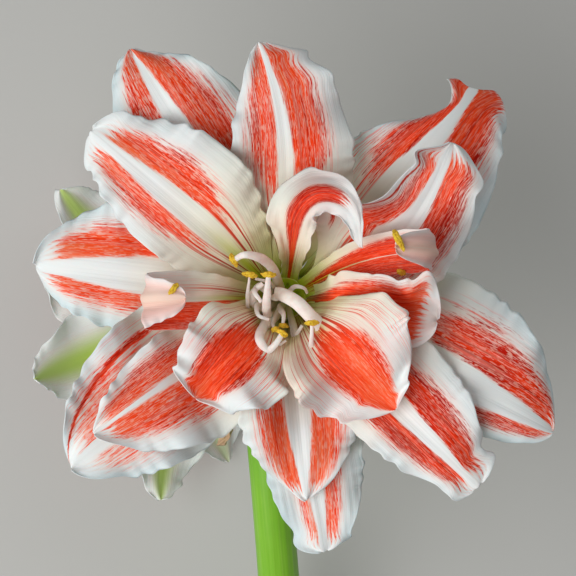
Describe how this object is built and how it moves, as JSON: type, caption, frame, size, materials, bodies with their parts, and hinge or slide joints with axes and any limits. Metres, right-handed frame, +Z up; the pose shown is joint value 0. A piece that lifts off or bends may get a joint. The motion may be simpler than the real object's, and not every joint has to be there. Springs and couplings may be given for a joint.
{
  "type": "cut amaryllis flower stem",
  "caption": "Cut amaryllis stem lying down: a hollow green stalk that ends in an umbel of double blooms with red-striped white petals and ruffled edges.",
  "frame": {"origin": "middle of the part's box, on the surface that it lies on", "axes": "+Z up from the surface and the way the front bloom faces, +Y from the cut end of the stalk to the blooms, +X to the right seen from above"},
  "size_m": [0.228, 0.4164, 0.2492],
  "materials": {
    "stalk": "satin, smooth green skin",
    "bract": "dry, papery and ribbed",
    "tepal": "soft satin, white with streaked scarlet bands",
    "petaloid": "soft satin, scarlet with pale veins and white margins",
    "staminode": "satin, pinkish white with yellow anthers"
  },
  "bodies": {
    "root": {"scape": "stalk", "front_pedicel": "stalk", "rear_pedicel": "stalk", "left_spathe_valve": "bract", "right_spathe_valve": "bract", "front_outer_tepals": "tepal", "front_inner_tepals": "tepal", "front_petaloids": "petaloid", "front_staminodes": "staminode", "rear_outer_tepals": "tepal", "rear_inner_tepals": "tepal", "rear_petaloids": "petaloid", "rear_staminodes": "staminode"}
  },
  "joints": []
}
